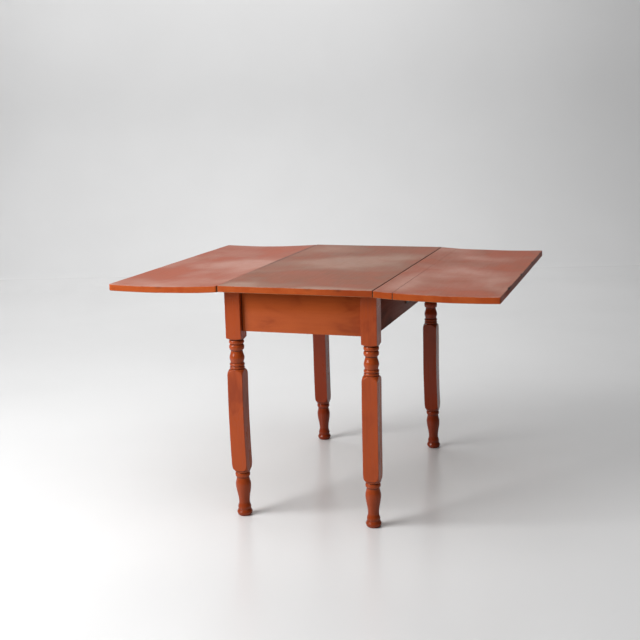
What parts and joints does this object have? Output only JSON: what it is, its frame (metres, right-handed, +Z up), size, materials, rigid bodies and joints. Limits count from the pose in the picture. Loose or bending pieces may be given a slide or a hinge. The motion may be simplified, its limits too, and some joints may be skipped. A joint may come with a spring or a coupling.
{
  "type": "drop leaf table",
  "caption": "Drop leaf table: a fixed centre top on a frame with turned legs, and two hinged leaves that are propped level or hang down at the sides.",
  "frame": {"origin": "on the floor, at the middle of the open table", "axes": "+X from the left leaf to the right leaf, +Y from the front end to the back end, +Z up"},
  "size_m": [1.197, 0.94, 0.737],
  "materials": {
    "worn_top_paint": "worn rust-red paint with faded, dusty patches",
    "leg_paint": "rust-red paint, half gloss",
    "apron_paint": "rust-red paint, half gloss",
    "shaded_paint": "rust-red paint, thin and darker",
    "bare_pine": "bare aged pine",
    "dark_iron": "dark iron, worn",
    "pin_steel": "dull steel"
  },
  "bodies": {
    "frame": {"back_apron": "apron_paint", "back_glue_block": "bare_pine", "back_left_corner_brace": "bare_pine", "back_left_leg": "leg_paint", "back_right_corner_brace": "bare_pine", "back_right_leg": "leg_paint", "centre_top": "worn_top_paint", "front_apron": "apron_paint", "front_glue_block": "bare_pine", "front_left_corner_brace": "bare_pine", "front_left_leg": "leg_paint", "front_right_corner_brace": "bare_pine", "front_right_leg": "leg_paint", "left_apron": "shaded_paint", "left_back_glue_block": "bare_pine", "left_back_hinge_pin": "pin_steel", "left_back_hinge_table_plate": "dark_iron", "left_front_glue_block": "bare_pine", "left_front_hinge_pin": "pin_steel", "left_front_hinge_table_plate": "dark_iron", "left_middle_hinge_pin": "pin_steel", "left_middle_hinge_table_plate": "dark_iron", "left_stay_bracket": "dark_iron", "left_stay_pin": "pin_steel", "right_apron": "shaded_paint", "right_back_glue_block": "bare_pine", "right_back_hinge_pin": "pin_steel", "right_back_hinge_table_plate": "dark_iron", "right_front_glue_block": "bare_pine", "right_front_hinge_pin": "pin_steel", "right_front_hinge_table_plate": "dark_iron", "right_middle_hinge_pin": "pin_steel", "right_middle_hinge_table_plate": "dark_iron", "right_stay_bracket": "dark_iron", "right_stay_pin": "pin_steel"},
    "left_leaf": {"left_leaf_board": "worn_top_paint", "left_front_hinge_leaf_plate": "dark_iron", "left_middle_hinge_leaf_plate": "dark_iron", "left_back_hinge_leaf_plate": "dark_iron", "left_stay_keeper": "shaded_paint"},
    "right_leaf": {"right_leaf_board": "worn_top_paint", "right_leaf_inner_strip": "worn_top_paint", "right_front_hinge_leaf_plate": "dark_iron", "right_middle_hinge_leaf_plate": "dark_iron", "right_back_hinge_leaf_plate": "dark_iron", "right_stay_keeper": "shaded_paint"},
    "left_stay": {"left_stay_bar": "dark_iron"},
    "right_stay": {"right_stay_bar": "dark_iron"}
  },
  "joints": [
    {"name": "left_leaf_hinge", "type": "hinge", "parent": "frame", "child": "left_leaf", "pos_m": [-0.238, 0, 0.7133], "axis": [0, -1, 0], "range_deg": [0, 88]},
    {"name": "right_leaf_hinge", "type": "hinge", "parent": "frame", "child": "right_leaf", "pos_m": [0.238, 0, 0.7133], "axis": [0, 1, 0], "range_deg": [0, 88]},
    {"name": "left_stay_pivot", "type": "hinge", "parent": "frame", "child": "left_stay", "pos_m": [-0.23, 0, 0.636], "axis": [0, -1, 0], "range_deg": [0, 114.1]},
    {"name": "right_stay_pivot", "type": "hinge", "parent": "frame", "child": "right_stay", "pos_m": [0.23, 0, 0.636], "axis": [0, 1, 0], "range_deg": [0, 114.1]}
  ],
  "couplings": [
    {"joint": "left_stay_pivot", "follows": "left_leaf_hinge", "ratio": 1.2957},
    {"joint": "right_stay_pivot", "follows": "right_leaf_hinge", "ratio": 1.2957}
  ]
}
